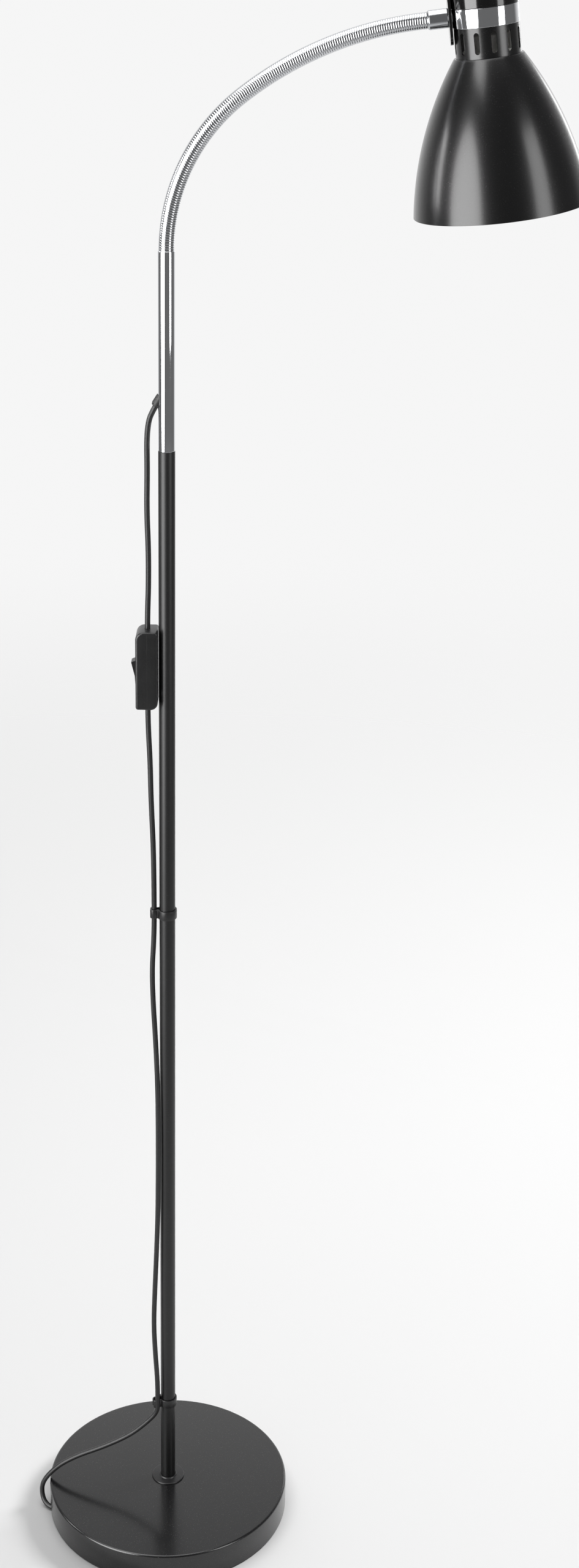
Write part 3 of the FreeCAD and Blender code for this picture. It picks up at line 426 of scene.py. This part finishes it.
# one entry for each finish: what a user would change
finishTable = {
    "lacquer": {"colour": (0.007, 0.007, 0.0075), "roughness": 0.13, "grain": 0.9, "cloud": 60,
                "colourChange": 0.25, "roughChange": 0.05, "dust": 0.10, "bump": 0.004, "coat": 0.35,
                "coatRoughness": 0.08},
    "poleLacquer": {"colour": (0.007, 0.007, 0.0075), "roughness": 0.4, "grain": 0.9, "cloud": 60,
                    "colourChange": 0.25, "roughChange": 0.05, "dust": 0.08, "bump": 0.003},
    "baseLacquer": {"colour": (0.008, 0.008, 0.0085), "roughness": 0.2, "grain": 1.1, "cloud": 70,
                    "colourChange": 0.25, "roughChange": 0.06, "dust": 0.22, "bump": 0.004, "coat": 0.3,
                    "coatRoughness": 0.15},
    "shadeLacquer": {"colour": (0.007, 0.007, 0.0075), "roughness": 0.25, "grain": 0.8, "cloud": 50,
                     "colourChange": 0.2, "roughChange": 0.05, "dust": 0.08, "bump": 0.006, "coat": 0.2,
                     "coatRoughness": 0.15},
    "shadeInside": {"colour": (0.78, 0.77, 0.74), "roughness": 0.45, "grain": 0.8, "cloud": 40,
                    "colourChange": 0.06, "roughChange": 0.1, "bump": 0.01},
    "chrome": {"colour": (0.82, 0.83, 0.85), "roughness": 0.07, "metal": 1.0, "grain": 2.0, "cloud": 25,
               "colourChange": 0.05, "roughChange": 0.05, "dust": 0.05, "bump": 0.002},
    "hoseChrome": {"colour": (0.60, 0.61, 0.63), "roughness": 0.16, "metal": 1.0, "grain": 0.5,
                   "cloud": 12, "colourChange": 0.08, "roughChange": 0.04, "bump": 0.001},
    "blackPlastic": {"colour": (0.016, 0.016, 0.017), "roughness": 0.33, "grain": 0.28, "cloud": 14,
                     "colourChange": 0.2, "roughChange": 0.10, "dust": 0.12, "bump": 0.05},
    "mattPlastic": {"colour": (0.02, 0.02, 0.02), "roughness": 0.5, "grain": 0.3, "cloud": 14,
                    "colourChange": 0.2, "roughChange": 0.1, "dust": 0.1, "bump": 0.08},
    "sheath": {"colour": (0.018, 0.018, 0.019), "roughness": 0.42, "grain": 0.35, "cloud": 30,
               "colourChange": 0.25, "roughChange": 0.14, "dust": 0.15, "bump": 0.04},
    "rubber": {"colour": (0.022, 0.022, 0.022), "roughness": 0.72, "grain": 0.4, "cloud": 10,
               "colourChange": 0.3, "roughChange": 0.15, "dust": 0.4, "bump": 0.12},
    "zinc": {"colour": (0.52, 0.53, 0.55), "roughness": 0.34, "metal": 1.0, "grain": 0.7, "cloud": 6,
             "colourChange": 0.3, "roughChange": 0.25, "bump": 0.03},
    "castIron": {"colour": (0.07, 0.068, 0.066), "roughness": 0.7, "metal": 0.6, "grain": 1.2,
                 "cloud": 15, "colourChange": 0.5, "roughChange": 0.2, "bump": 0.5},
    "brass": {"colour": (0.72, 0.50, 0.20), "roughness": 0.26, "metal": 1.0, "grain": 0.6, "cloud": 7,
              "colourChange": 0.25, "roughChange": 0.2, "bump": 0.02},
    "porcelain": {"colour": (0.80, 0.79, 0.75), "roughness": 0.18, "grain": 1.5, "cloud": 12,
                  "colourChange": 0.05, "roughChange": 0.08, "bump": 0.01, "coat": 0.5,
                  "coatRoughness": 0.05},
}


def makeFinish(name, look, group):
    material = bpy.data.materials.new(name)
    material.use_nodes = True
    nodes, links = material.node_tree.nodes, material.node_tree.links
    shader = nodes["Principled BSDF"]
    detail = nodes.new("ShaderNodeGroup")
    detail.node_tree = group
    detail.inputs["Colour"].default_value = (*look["colour"], 1)
    for socket, key, usual in (("Roughness", "roughness", 0.3), ("Grain Size", "grain", 1),
                               ("Cloud Size", "cloud", 40), ("Colour Change", "colourChange", 0),
                               ("Roughness Change", "roughChange", 0), ("Dust", "dust", 0)):
        detail.inputs[socket].default_value = look.get(key, usual)
    links.new(detail.outputs["Colour"], shader.inputs["Base Color"])
    links.new(detail.outputs["Roughness"], shader.inputs["Roughness"])
    bump = nodes.new("ShaderNodeBump")
    bump.inputs["Strength"].default_value = 0.5
    bump.inputs["Distance"].default_value = look["bump"] * mm
    links.new(detail.outputs["Height"], bump.inputs["Height"])
    links.new(bump.outputs["Normal"], shader.inputs["Normal"])
    shader.inputs["Metallic"].default_value = look.get("metal", 0)
    shader.inputs["Coat Weight"].default_value = look.get("coat", 0)
    shader.inputs["Coat Roughness"].default_value = look.get("coatRoughness", 0.03)
    material.diffuse_color = (*look["colour"], 1)
    return material


surfaceDetail = makeSurfaceGroup()
finishes = {name: makeFinish(name, look, surfaceDetail) for name, look in finishTable.items()}
finishOfSlot = {
    "black_gloss": "lacquer", "chrome": "chrome", "black_plastic": "blackPlastic",
    "matt_plastic": "mattPlastic", "cord_sheath": "sheath", "foot_rubber": "rubber", "steel": "zinc",
    "cast_iron": "castIron", "brass": "brass", "porcelain": "porcelain",
}
for node, obj in frame["nodes"].items():
    look = finishes[finishOfSlot[slotOfNode[node]]]
    if not obj.data.materials:
        obj.data.materials.append(look)
    for holder in obj.material_slots:
        holder.link = "OBJECT"
        holder.material = look
print("finishes made")

# ---- base

baseLow, baseHigh = (np.array(c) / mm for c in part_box("base_cover"))
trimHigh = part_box("base_edge_trim")[1][2] / mm
base = {
    "radius": baseHigh[0], "top": baseHigh[2], "rim": baseLow[2], "wall": 1.6, "edgeRound": 2.5,
    "innerRound": 1.0, "rimRound": 0.4, "around": 224,
    "hole": 5.3, "notchHalf": 6.5, "notchTop": 9.5, "notchAngle": 189.6,
    "notchSteps": 25, "notchInside": 0.999, "notchSides": (1.002, 1.2), "notchClear": 1.3,
    "trimInner": 119.5, "trimSeat": 123.3, "trimLip": 124.6, "trimAround": 180,
}


def notchAngles():
    # an even fan of angles, with a finer one just inside the notch and a pair at each of its sides
    full = 2 * math.pi
    middle = math.radians(base["notchAngle"])
    edge = base["notchHalf"] / base["radius"]
    even = middle + evenTurns(base["around"])
    far = np.abs((even - middle + math.pi) % full - math.pi) > base["notchClear"] * edge
    inside = middle + edge * base["notchInside"] * np.linspace(-1, 1, base["notchSteps"])
    sides = np.array(base["notchSides"]) * edge
    return np.sort(np.concatenate([even[far], inside, middle - sides, middle + sides]) % full)


def addBase():
    wall, radius, top = base["wall"], base["radius"], base["top"]
    corners = [(base["hole"], top), (base["hole"], top - wall),
               (radius - wall, top - wall, base["innerRound"]),
               (radius - wall, base["rim"], base["rimRound"]),
               (radius, base["rim"], base["rimRound"]), (radius, top, base["edgeRound"])]
    outline = filletOutline(corners, 8) * mm
    angles = notchAngles()
    verts, faces = ringStack(outline, angles)
    # the skirt's lower edge rises to an arch: straight sides, then a half circle
    fromNotch = angles - math.radians(base["notchAngle"])
    across = radius * np.sin(fromNotch)
    half = base["notchHalf"]
    near = (np.abs(across) < half) & (np.cos(fromNotch) > 0)
    arch = base["notchTop"] - half + np.sqrt(np.clip(half ** 2 - across ** 2, 0, None))
    lift = np.where(near, arch, 0) * mm
    grid = verts.reshape(len(outline), len(angles), 3)
    low = grid[:, :, 2] < base["notchTop"] * mm
    shifted = grid[:, :, 2] + lift[None, :]
    grid[:, :, 2] = np.where(low & (lift[None, :] > 0), shifted - base["rim"] * mm, grid[:, :, 2])
    addPiece("base_shell", grid.reshape(-1, 3), faces, "baseLacquer", "base_cover")


def addTrim():
    section = filletOutline([(base["trimInner"], 0, 0.5), (base["trimLip"], 0, 0.4),
                             (base["trimLip"], base["rim"], 0.3), (base["trimSeat"], base["rim"]),
                             (base["trimSeat"], trimHigh, 0.6), (base["trimInner"], trimHigh, 0.6)], 4)
    middle = (base["trimInner"] + base["trimLip"]) / 2
    section[:, 0] -= middle
    start = math.radians(base["notchAngle"]) + base["notchHalf"] / middle
    sweep = 2 * math.pi - 2 * base["notchHalf"] / middle
    turns = start + np.linspace(0, sweep, base["trimAround"])
    outward = np.column_stack([np.cos(turns), np.sin(turns), np.zeros_like(turns)])
    addSwept("edge_rubber", outward * middle * mm, outward, section * mm, "rubber", "base_edge_trim")


footDisc = {"bore": 7.6, "lipFoot": 9.4, "lipTop": 8.6, "lipHigh": 0.9, "edgeRound": 0.9}


def addFootCollar():
    lowCorner, highCorner = (np.array(c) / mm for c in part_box("foot_collar"))
    outer, low, high = highCorner[0], lowCorner[2], highCorner[2]
    bore, lip = footDisc["bore"], high + footDisc["lipHigh"]
    addTurned("foot_disc", [(bore, low), (outer, low), (outer, high, footDisc["edgeRound"]),
                            (footDisc["lipFoot"], high, 0.4), (footDisc["lipTop"], lip, 0.4),
                            (bore, lip, 0.3)], "blackPlastic", "foot_collar")


addBase()
addTrim()
addFootCollar()
print("base made")

# ---- pole

pole = {"radius": 7.5, "bore": 6.3, "chromeBore": 6.5, "edge": 0.35, "chromeEdge": 0.7, "gap": 0.15,
        "around": 96}


def addPole():
    low, high = (c[2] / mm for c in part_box("pole_tube"))
    high -= pole["gap"]
    radius, bore, edge = pole["radius"], pole["bore"], pole["edge"]
    addTurned("black_pole", [(bore, low), (radius, low), (radius, high, edge), (bore, high)],
              "poleLacquer", "pole_tube", segments=pole["around"])
    low, high = (c[2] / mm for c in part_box("upright_tube"))
    bore = pole["chromeBore"]
    addTurned("chrome_upright", [(bore, low), (radius, low, edge), (radius, high, pole["chromeEdge"]),
                                 (bore, high)], "chrome", "upright_tube", segments=pole["around"])


def axisPlace(start, direction):
    # a placement whose Z runs along the direction
    turn = Vector(direction).to_track_quat("Z", "Y").to_matrix().to_4x4()
    return Matrix.Translation(Vector(start)) @ turn


bush = {"slope": 58.0, "height": 1192.0, "outer": 4.4, "bore": 2.55, "inside": -5.5, "tip": 4.4,
        "collar": 2.2, "taper": 0.7, "around": 48}


def addBush():
    slope = math.radians(bush["slope"])
    place = axisPlace((-pole["radius"] * mm, 0, bush["height"] * mm),
                      (-math.cos(slope), 0, -math.sin(slope)))
    outer, bore, inside, tip = (bush[k] for k in ("outer", "bore", "inside", "tip"))
    addTurned("lead_bush", [(bore, inside), (outer, inside), (outer, tip - bush["collar"], 0.5),
                            (outer - bush["taper"], tip, 0.8), (bore, tip, 0.4)],
              "mattPlastic", "cord_bush", place, segments=bush["around"], slot="black_plastic")


clip = {"inner": 7.58, "wall": 1.55, "loopInner": 2.85, "loopWall": 1.3, "reach": 12.5, "high": 9.0,
        "waist": 0.34, "mouth": 0.48, "loopEnd": 2.35, "ringSteps": 56, "loopSteps": 16, "edge": 0.4}


def clipPath():
    # the strap starts beside the gap at the loop's far side, runs round the loop to the pole, all
    # the way round the pole and back round the other half of the loop, as one closed-ended band
    ring = clip["inner"] + clip["wall"] / 2
    loop = clip["loopInner"] + clip["loopWall"] / 2
    reach = clip["reach"]
    ringAngles = np.linspace(clip["waist"], 2 * math.pi - clip["waist"], clip["ringSteps"])
    ringPart = np.column_stack([ring * np.cos(ringAngles), ring * np.sin(ringAngles)])
    loopAngles = np.linspace(clip["mouth"], clip["loopEnd"], clip["loopSteps"])
    upper = np.column_stack([reach + loop * np.cos(loopAngles), loop * np.sin(loopAngles)])
    return np.vstack([upper, ringPart, (upper * (1, -1))[::-1]])


def addClip(name, node, height, turn):
    path = clipPath()
    step = np.gradient(path, axis=0)
    across = np.column_stack([step[:, 1], -step[:, 0]])
    across /= np.linalg.norm(across, axis=1)[:, None]
    c, s = math.cos(turn), math.sin(turn)
    spin = np.array([[c, s], [-s, c]])
    flat = np.zeros((len(path), 1))
    points = np.hstack([path @ spin, flat + height]) * mm
    across = np.hstack([across @ spin, flat])
    half, wide, edge = clip["high"] / 2, clip["wall"] / 2, clip["edge"]
    section = filletOutline([(-wide, -half, edge), (wide, -half, edge), (wide, half, edge),
                             (-wide, half, edge)], 3)
    addSwept(name, points, across, section * mm, "blackPlastic", node)


def clipTurn(node):
    # the loop points from the pole's axis to the middle of the lead beside it
    low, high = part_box(node)
    return math.atan2(low[1] + high[1], low[0] + high[0])


addPole()
addBush()
for piece, node in (("pole_clip_upper", "clip_upper"), ("pole_clip_lower", "clip_lower")):
    low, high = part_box(node)
    addClip(piece, node, (low[2] + high[2]) / 2 / mm, clipTurn(node))
print("pole made")

# ---- ribbed neck

neck = {
    "start": 1322.0, "lowerBend": 161.0, "lowerTurn": 51.8, "upperBend": 300.0, "upperTurn": 31.45,
    "links": 12, "lowerRibs": 12, "upperRibs": 14, "outer": 6.75, "groove": 6.55, "bore": 4.6,
    "around": 56, "perRib": 8, "boreRows": 9, "squareness": 5,
}


def neckLine(place):
    # place counts links: the heading turns evenly over the first half of the links along one arc
    # and over the second half along a wider one; gives the points and headings in millimetres
    half = neck["links"] / 2
    first = np.radians(neck["lowerTurn"]) * np.minimum(place, half) / half
    second = np.radians(neck["upperTurn"]) * np.maximum(place - half, 0) / half
    x = neck["lowerBend"] * (1 - np.cos(first))
    z = neck["start"] + neck["lowerBend"] * np.sin(first)
    heading = math.pi / 2 - first
    end = heading - second
    x = x + neck["upperBend"] * (np.sin(heading) - np.sin(end))
    z = z + neck["upperBend"] * (np.cos(end) - np.cos(heading))
    return x, z, end


def hoseRows(start, stop):
    # rib profile: radius = groove + (outer - groove) sqrt(1 - |2p - 1| ^ squareness), with p the
    # place in a rib
    half = neck["links"] / 2
    count = round((min(stop, half) - min(start, half)) * neck["lowerRibs"])
    count += round((max(stop, half) - max(start, half)) * neck["upperRibs"])
    phase = np.linspace(0, 1, neck["perRib"], endpoint=False)
    bead = np.sqrt(np.clip(1 - np.abs(2 * phase - 1) ** neck["squareness"], 0, 1))
    radius = neck["groove"] + (neck["outer"] - neck["groove"]) * bead
    place = []
    at = start
    for _ in range(count):
        ribsPerLink = neck["lowerRibs"] if at < half - 1e-6 else neck["upperRibs"]
        place.append(at + phase / ribsPerLink)
        at += 1 / ribsPerLink
    return np.append(np.concatenate(place), stop), np.append(np.tile(radius, count), neck["groove"])


def addHosePiece(name, start, stop, nodes, bodyPair):
    place, radius = hoseRows(start, stop)
    rows = neck["boreRows"]
    place = np.append(place, np.linspace(stop, start, rows))
    radius = np.append(radius, np.full(rows, neck["bore"]))
    x, z, heading = neckLine(place)
    angles = evenTurns(neck["around"])
    outward = radius[:, None] * np.cos(angles)
    sideways = radius[:, None] * np.sin(angles)
    grid = np.stack([x[:, None] - outward * np.sin(heading)[:, None],
                     sideways,
                     z[:, None] + outward * np.cos(heading)[:, None]], -1)
    faces = gridFaces(len(place), neck["around"], True)
    obj = addPiece(name, grid.reshape(-1, 3) * mm, faces, "hoseChrome", nodes, "later", 50, "chrome")
    if len(bodyPair) == 1:
        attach(obj, bodyPair[0])
        return
    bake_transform(obj)


def addHose():
    # each piece runs from the middle of one link to the middle of the next
    count = neck["links"]
    nodes = ["neck_link_%02d" % (k + 1) for k in range(count)]
    bodies = [bodyOfNode[n] for n in nodes]
    addHosePiece("hose_00", 0, 0.5, nodes[:1], bodies[:1])
    for k in range(1, count):
        addHosePiece("hose_%02d" % k, k - 0.5, k + 0.5, nodes[k:k + 1], bodies[k - 1:k + 1])
    addHosePiece("hose_%02d" % count, count - 0.5, count, nodes[-1:], bodies[-1:])


addHose()
print("neck made")

# ---- head: its own Z runs up the middle of the shade

socketMount = next(m for m in record["mounts"] if m["name"] == "lamp_socket")
headUp = -Vector(socketMount["axis"])
headAcross = Vector((headUp.z, 0, -headUp.x))
head = {
    "socketHeight": 120.0, "neckHeight": 160.6, "ferruleTip": -47.4, "ferruleEnd": -30.4,
    "shadeRim": 74.1, "shadeNeck": 28.7, "shadeLow": 4.5, "shadeHigh": 128.0, "shadeBend": 273.5,
    "shadeHole": 20.6, "shadeWall": 1.0, "shadeRows": 60, "around": 160,
    "bandOuter": 27.6, "bandLip": 25.65, "bandInner": 25.0, "bandLow": 152.0, "bandHigh": 167.0,
    "lipReach": 3.0, "capWall": 1.1, "capOuter": 27.8, "capHigh": 201.0, "capRound": 5.0,
    "sleeveBore": 3.4, "spigot": 4.15, "spigotReach": 8.0, "sleeveTip": 6.9, "sleeve": 7.9,
    "sleeveEnd": 7.4, "tipSlope": 1.4, "endSlope": 0.8, "sleeveAround": 72, "capGap": 0.1,
}
headTurn = Matrix((headAcross, Vector((0, 1, 0)), headUp)).transposed().to_4x4()
headFoot = Vector(socketMount["pos_m"]) - headUp * head["socketHeight"] * mm
headPlace = Matrix.Translation(headFoot) @ headTurn


def shadeLine():
    # one arc from the rim to the neck, bulging outwards: points evenly spread in height
    low, high, bend = head["shadeLow"], head["shadeHigh"], head["shadeBend"]
    rim, top = np.array([head["shadeRim"], low]), np.array([head["shadeNeck"], high])
    chord = top - rim
    length = np.linalg.norm(chord)
    across = np.array([chord[1], -chord[0]]) / length
    middle = (rim + top) / 2 - across * math.sqrt(bend ** 2 - (length / 2) ** 2)
    heights = np.linspace(low, high, head["shadeRows"])
    return np.column_stack([middle[0] + np.sqrt(bend ** 2 - (heights - middle[1]) ** 2), heights])


def addShade():
    outer = shadeLine()
    wall, top, hole = head["shadeWall"], head["shadeHigh"], head["shadeHole"]
    inner = outer.copy()[::-1]
    inner[:, 0] -= wall
    inner[:, 1] = np.minimum(inner[:, 1], top - wall)
    shoulder = filletOutline([(outer[-2, 0], outer[-2, 1]), (head["shadeNeck"], top, 0.8),
                              (hole, top)], 5)[1:]
    profile = np.vstack([outer[:-1], shoulder, [[hole, top - wall]], inner[1:]])
    verts, faces = ringStack(profile * mm, evenTurns(head["around"]), headPlace)
    obj = addPiece("bell_shade", verts, faces, "shadeLacquer", "lamp_shade", sharp=45)
    obj.data.materials.append(finishes["shadeInside"])
    # faces of the inner wall take the pale finish
    first = len(outer) + len(shoulder)
    last = first + len(inner) - 2
    row = np.repeat(np.arange(len(profile)), head["around"])
    pale = (row >= first) & (row < last)
    obj.data.polygons.foreach_set("material_index", pale.astype(np.int32))


def addBand():
    inner, lip, outer = head["bandInner"], head["bandLip"], head["bandOuter"]
    low, high, reach = head["bandLow"], head["bandHigh"], head["lipReach"]
    addTurned("chrome_band", [(inner, low - reach, 0.3), (lip, low - reach, 0.3), (lip, low),
                              (outer, low, 0.45), (outer, high, 0.45), (lip, high),
                              (lip, high + reach, 0.3), (inner, high + reach, 0.3)],
              "chrome", "neck_band", headPlace, head["around"])


def addCap():
    wall, outer, low = head["capWall"], head["capOuter"], head["bandHigh"] + head["capGap"]
    high, bend = head["capHigh"], head["capRound"]
    addTurned("round_cap", [(0, high - wall), (outer - wall, high - wall, bend - wall),
                            (outer - wall, low, 0.3), (outer, low, 0.4), (outer, high, bend),
                            (0, high)],
              "lacquer", "top_cap", headPlace, head["around"], closed=False, steps=10)


def addSleeve():
    # the sleeve's own Z runs along the neck's end, with a spigot into the last length of hose
    start = headPlace @ Vector((0, 0, head["neckHeight"] * mm))
    bore, spigot, sleeve = head["sleeveBore"], head["spigot"], head["sleeve"]
    tip, end = head["ferruleTip"], head["ferruleEnd"]
    inside = tip - head["spigotReach"]
    addTurned("neck_ferrule_sleeve", [(bore, inside), (spigot, inside, 0.2), (spigot, tip),
                                      (head["sleeveTip"], tip, 0.3),
                                      (sleeve, tip + head["tipSlope"], 0.5),
                                      (sleeve, end - head["endSlope"], 0.4),
                                      (head["sleeveEnd"], end, 0.2), (bore, end)],
              "hoseChrome", "neck_ferrule", axisPlace(start, headAcross), head["sleeveAround"])


def addHead():
    addShade()
    addBand()
    addCap()
    addSleeve()
    cleanCopy("vent_collar", "vent_ring", "shadeLacquer", 0.12)
    cleanCopy("neck_plate", "neck_strap", "lacquer", 0.5)
    cleanCopy("lampholder", "screw_lampholder", "porcelain", 0.4)


addHead()
print("head made")

# ---- switch and plug

cleanCopy("switch_front", "switch_shell_front", "blackPlastic", 0.25)
cleanCopy("switch_back", "switch_shell_back", "blackPlastic", 0.25)
cleanCopy("switch_rocker", "rocker_key", "blackPlastic", 0.35)
cleanCopy("plug_body", "plug_shell", "mattPlastic", 1.6)
cleanCopy("plug_pins", "plug_contact_pins", "brass", 0.4)
cleanCopy("coil_tie", "lead_tie", "mattPlastic", 0.2)

relief = {"height": 6.85, "forward": 71.0, "turn": 0.06, "long": 22.0, "root": 5.4, "taper": 2.1,
          "ripple": 0.28, "ribs": 5, "bore": 2.52, "overlap": 1.5, "rows": 61, "around": 40}


def addPlugRelief():
    # a tapering ribbed sleeve where the lead enters the plug: radius falls from root to tip while
    # a cosine gives soft ribs
    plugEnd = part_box("plug_body")[1][0] / mm
    start = np.array([plugEnd - relief["overlap"], relief["forward"], relief["height"]]) * mm
    place = axisPlace(start, (1, relief["turn"], 0))
    share = np.linspace(0, 1, relief["rows"])
    ripple = relief["ripple"] * np.cos(share * relief["ribs"] * 2 * math.pi)
    outer = np.column_stack([relief["root"] - relief["taper"] * share + ripple, share * relief["long"]])
    profile = np.vstack([[relief["bore"], 0], outer, [relief["bore"], relief["long"]]])
    verts, faces = ringStack(profile * mm, evenTurns(relief["around"]), place)
    addPiece("plug_relief", verts, faces, "mattPlastic", None, "stand", slot="matt_plastic")


addPlugRelief()

leadPiece.data.materials.append(finishes["sheath"])
settle(leadPiece, ["cord_upper", "cord_lower", "cord_tail", "cord_coil", "cord_lead"])
print("switch, plug and lead made")

# ---- floor and light

stage = {"radius": 3.6, "around": 96, "fadeFrom": 0.35, "fadeTo": 3.4, "shade": (0.80, 0.80, 0.80),
         "roughness": 0.9, "shine": 0.1}


def addFloor():
    # a pale disc that thins out with the distance from its middle, so that it has no edge
    turns = evenTurns(stage["around"])
    verts = np.column_stack([np.cos(turns), np.sin(turns), np.zeros_like(turns)]) * stage["radius"]
    mesh = bpy.data.meshes.new("floor")
    mesh.from_pydata(verts.tolist(), [], [list(range(len(turns)))])
    floor = addObject("floor", mesh)
    paint = bpy.data.materials.new("floorPaint")
    paint.use_nodes = True
    nodes, links = paint.node_tree.nodes, paint.node_tree.links
    shader = nodes["Principled BSDF"]
    shader.inputs["Base Color"].default_value = (*stage["shade"], 1)
    shader.inputs["Roughness"].default_value = stage["roughness"]
    shader.inputs["Specular IOR Level"].default_value = stage["shine"]
    coords = nodes.new("ShaderNodeTexCoord")
    distance = nodes.new("ShaderNodeVectorMath")
    distance.operation = "LENGTH"
    links.new(coords.outputs["Object"], distance.inputs[0])
    fade = mapRange(nodes, stage["fadeFrom"], stage["fadeTo"], 1, 0)
    fade.interpolation_type = "SMOOTHSTEP"
    links.new(distance.outputs["Value"], fade.inputs["Value"])
    links.new(fade.outputs[0], shader.inputs["Alpha"])
    mesh.materials.append(paint)


# soft boxes: shape, place, what they point at, width, height and brightness, and whether each
# one shows in glossy surfaces and lights matt ones
softBoxes = {
    "leftBox": ("ELLIPSE", (-1.53, -1.42, 1.3), (0.25, 0, 1.4), 1.8, 2.7, 6.3, True, False),
    "leftStrip": ("RECTANGLE", (-2.0, 0.32, 1.62), (0.28, 0, 1.4), 0.45, 0.85, 9.0, True, False),
    "rightBox": ("RECTANGLE", (2.07, -1.45, 1.8), (0.28, 0, 1.4), 0.9, 2.3, 4.6, True, False),
    "highBox": ("RECTANGLE", (-0.95, -0.95, 3.35), (0.28, 0, 1.45), 1.2, 0.6, 3.2, True, False),
    "topBox": ("RECTANGLE", (-0.5, 0.2, 3.8), (-0.2, 0.3, 0.8), 2.8, 3.0, 2.7, True, True),
    "backStrip": ("RECTANGLE", (1.75, 2.55, 1.6), (0.28, 0, 1.4), 0.35, 1.0, 5.0, True, False),
    "keyBox": ("RECTANGLE", (3.0, 1.6, 3.2), (0.1, 0, 0.4), 1.4, 1.4, 22.5, False, True),
}


def addLights():
    # a lamp's power is its brightness times pi times its area
    for name, (shape, place, target, wide, high, bright, shows, spreads) in softBoxes.items():
        data = bpy.data.lights.new(name, "AREA")
        data.shape = shape
        data.size, data.size_y = wide, high
        data.energy = bright * math.pi * wide * high
        light = addObject(name, data)
        light.visible_camera = False
        light.visible_glossy = shows
        light.visible_diffuse = spreads
        aim = (Vector(target) - Vector(place)).to_track_quat("-Z", "Y").to_matrix().to_4x4()
        light.matrix_world = Matrix.Translation(place) @ aim


sky = {"seen": 0.92, "front": 0.15, "back": 1.0, "from": 0.35, "to": 0.85}


def addSky():
    # what lights the lamp is dim in front of it and pale behind it; what shows is evenly pale
    world = bpy.data.worlds.new("studio")
    world.use_nodes = True
    nodes, links = world.node_tree.nodes, world.node_tree.links
    background = nodes["Background"]
    coords = nodes.new("ShaderNodeTexCoord")
    split = nodes.new("ShaderNodeSeparateXYZ")
    links.new(coords.outputs["Generated"], split.inputs[0])
    fade = mapRange(nodes, sky["from"], sky["to"], sky["front"], sky["back"])
    links.new(split.outputs["Y"], fade.inputs["Value"])
    path = nodes.new("ShaderNodeLightPath")
    pick = nodes.new("ShaderNodeMix")
    links.new(path.outputs["Is Camera Ray"], pick.inputs[0])
    links.new(fade.outputs[0], pick.inputs[2])
    pick.inputs[3].default_value = sky["seen"]
    links.new(pick.outputs[0], background.inputs["Strength"])
    background.inputs["Color"].default_value = (1, 1, 1, 1)
    bpy.context.scene.world = world
    bpy.context.scene.view_settings.view_transform = "Standard"


addFloor()
addLights()
addSky()
print("floor and light made")
